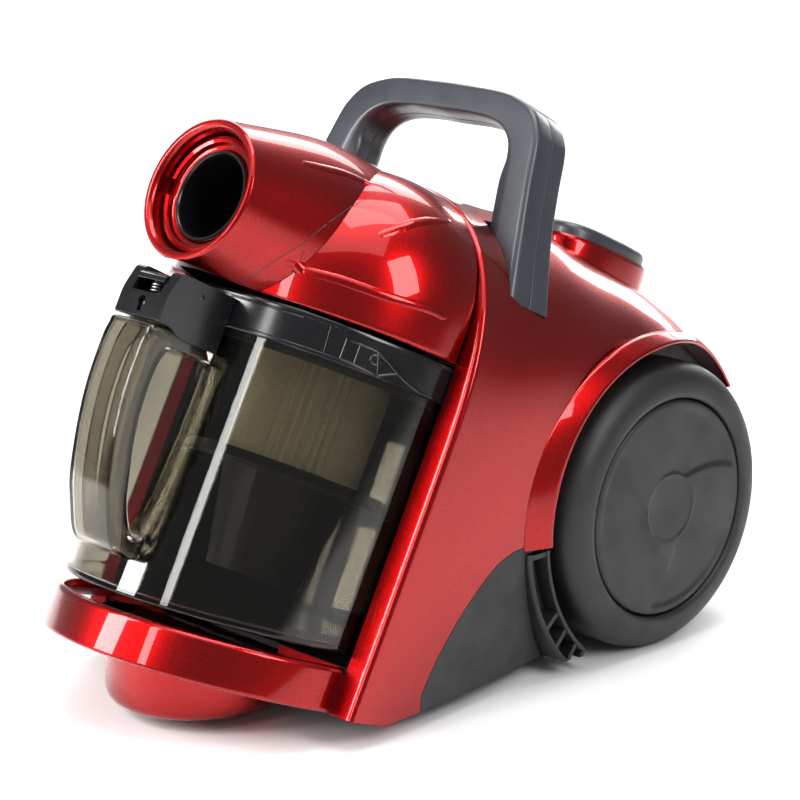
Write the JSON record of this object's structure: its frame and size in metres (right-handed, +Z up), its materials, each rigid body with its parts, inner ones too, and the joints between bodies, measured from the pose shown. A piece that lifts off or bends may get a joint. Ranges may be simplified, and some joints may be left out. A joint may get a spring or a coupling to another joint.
{
  "type": "canister vacuum cleaner",
  "caption": "Wheeled canister vacuum cleaner with a clear pull-out dust cup, hose inlet barrel, carry handle, foot pedals and a swivel caster.",
  "frame": {"origin": "centre of the bounding box's underside, on the floor", "axes": "+Z up; the dust cup and the hose inlet face -Y, the pedals and the exhaust are at +Y; X runs across, along the wheel axles"},
  "size_m": [0.2476, 0.4348, 0.3175],
  "materials": {
    "shell_red": "candy gloss",
    "handle_slate": "satin",
    "black_gloss": "gloss",
    "black_matte": "fine texture",
    "chassis_grey": "fine texture",
    "tyre_rubber": "matte",
    "smoke_clear": "clear, smoke tint",
    "filter_paper": "pleated",
    "filter_pad": "felt",
    "seal_rubber": "soft",
    "steel": "ground",
    "impeller_alu": "satin",
    "copper": "copper winding"
  },
  "bodies": {
    "housing": {"axle_left": "steel", "axle_right": "steel", "barrel_shell": "shell_red", "bay_liner": "chassis_grey", "caster_housing": "shell_red", "caster_pin": "steel", "cord_outlet": "black_matte", "exhaust_filter": "filter_pad", "exhaust_grille": "black_matte", "fender_left": "shell_red", "fender_right": "shell_red", "front_tray": "shell_red", "handle_front_shell": "handle_slate", "handle_rear_shell": "handle_slate", "handle_screw_left": "steel", "handle_screw_right": "steel", "head_panel_left": "shell_red", "head_panel_right": "shell_red", "inlet_collar": "shell_red", "inlet_tube": "black_matte", "lower_chassis": "chassis_grey", "main_shell": "shell_red", "motor_housing": "black_matte", "power_plinth": "shell_red", "power_spring": "steel", "reel_axle": "black_matte", "rewind_plinth": "shell_red", "rewind_spring": "steel", "wheel_guard_left": "black_matte", "wheel_guard_right": "black_matte", "wheel_well_left": "black_matte", "wheel_well_right": "black_matte"},
    "dust_cup": {"cup_vessel": "smoke_clear", "lid_ring": "black_gloss", "lid_seal": "seal_rubber", "pleated_filter": "filter_paper", "filter_cap": "black_matte", "filter_plate": "black_matte", "cyclone_cone": "black_matte", "cup_handle": "smoke_clear", "latch_block": "black_gloss", "latch_pin": "steel", "latch_spring": "steel"},
    "latch": {"latch_lever": "black_gloss"},
    "wheel_left_body": {"tyre_left": "tyre_rubber", "wheel_cap_left": "black_matte", "wheel_hub_left": "black_matte"},
    "wheel_right_body": {"tyre_right": "tyre_rubber", "wheel_cap_right": "black_matte", "wheel_hub_right": "black_matte"},
    "caster_swivel": {"caster_fork": "black_matte", "caster_axle": "steel"},
    "caster_roller": {"caster_wheel": "tyre_rubber"},
    "power_button": {"power_pedal": "handle_slate"},
    "rewind_button": {"rewind_pedal": "handle_slate"},
    "motor_rotor": {"motor_shaft": "steel", "rotor": "copper", "impeller": "impeller_alu"},
    "reel": {"cord_reel": "black_matte"}
  },
  "joints": [
    {"name": "wheel_left_spin", "type": "hinge", "parent": "housing", "child": "wheel_left_body", "pos_m": [-0.108, 0.10475, 0.083], "axis": [1, 0, 0], "continuous": true},
    {"name": "wheel_right_spin", "type": "hinge", "parent": "housing", "child": "wheel_right_body", "pos_m": [0.108, 0.10475, 0.083], "axis": [1, 0, 0], "continuous": true},
    {"name": "caster_swivel_turn", "type": "hinge", "parent": "housing", "child": "caster_swivel", "pos_m": [0, -0.14045, 0.03], "axis": [0, 0, 1], "continuous": true},
    {"name": "caster_roll", "type": "hinge", "parent": "caster_swivel", "child": "caster_roller", "pos_m": [0, -0.13245, 0.0115], "axis": [1, 0, 0], "continuous": true},
    {"name": "power_press", "type": "slide", "parent": "housing", "child": "power_button", "axis": [0, -0.4226, -0.9063], "range_m": [0, 0.004], "stiffness_N_per_m": 1500, "springref_m": -0.002, "deforming": ["power_spring"]},
    {"name": "rewind_press", "type": "slide", "parent": "housing", "child": "rewind_button", "axis": [0, -0.4226, -0.9063], "range_m": [0, 0.004], "stiffness_N_per_m": 1500, "springref_m": -0.002, "deforming": ["rewind_spring"]},
    {"name": "cup_pull", "type": "slide", "parent": "housing", "child": "dust_cup", "axis": [0, -0.8813, 0.4726], "range_m": [0, 0.22]},
    {"name": "latch_press", "type": "hinge", "parent": "dust_cup", "child": "latch", "pos_m": [0, -0.14652, 0.22725], "axis": [1, 0, 0], "range_deg": [0, 8], "stiffness_Nm_per_rad": 0.15, "springref_deg": -5.73, "deforming": ["latch_spring"]},
    {"name": "motor_spin", "type": "hinge", "parent": "housing", "child": "motor_rotor", "pos_m": [-0.034, 0.09095, 0.104], "axis": [0, 1, 0], "continuous": true},
    {"name": "reel_turn", "type": "hinge", "parent": "housing", "child": "reel", "pos_m": [0.044, 0.10995, 0.1], "axis": [1, 0, 0], "continuous": true}
  ]
}
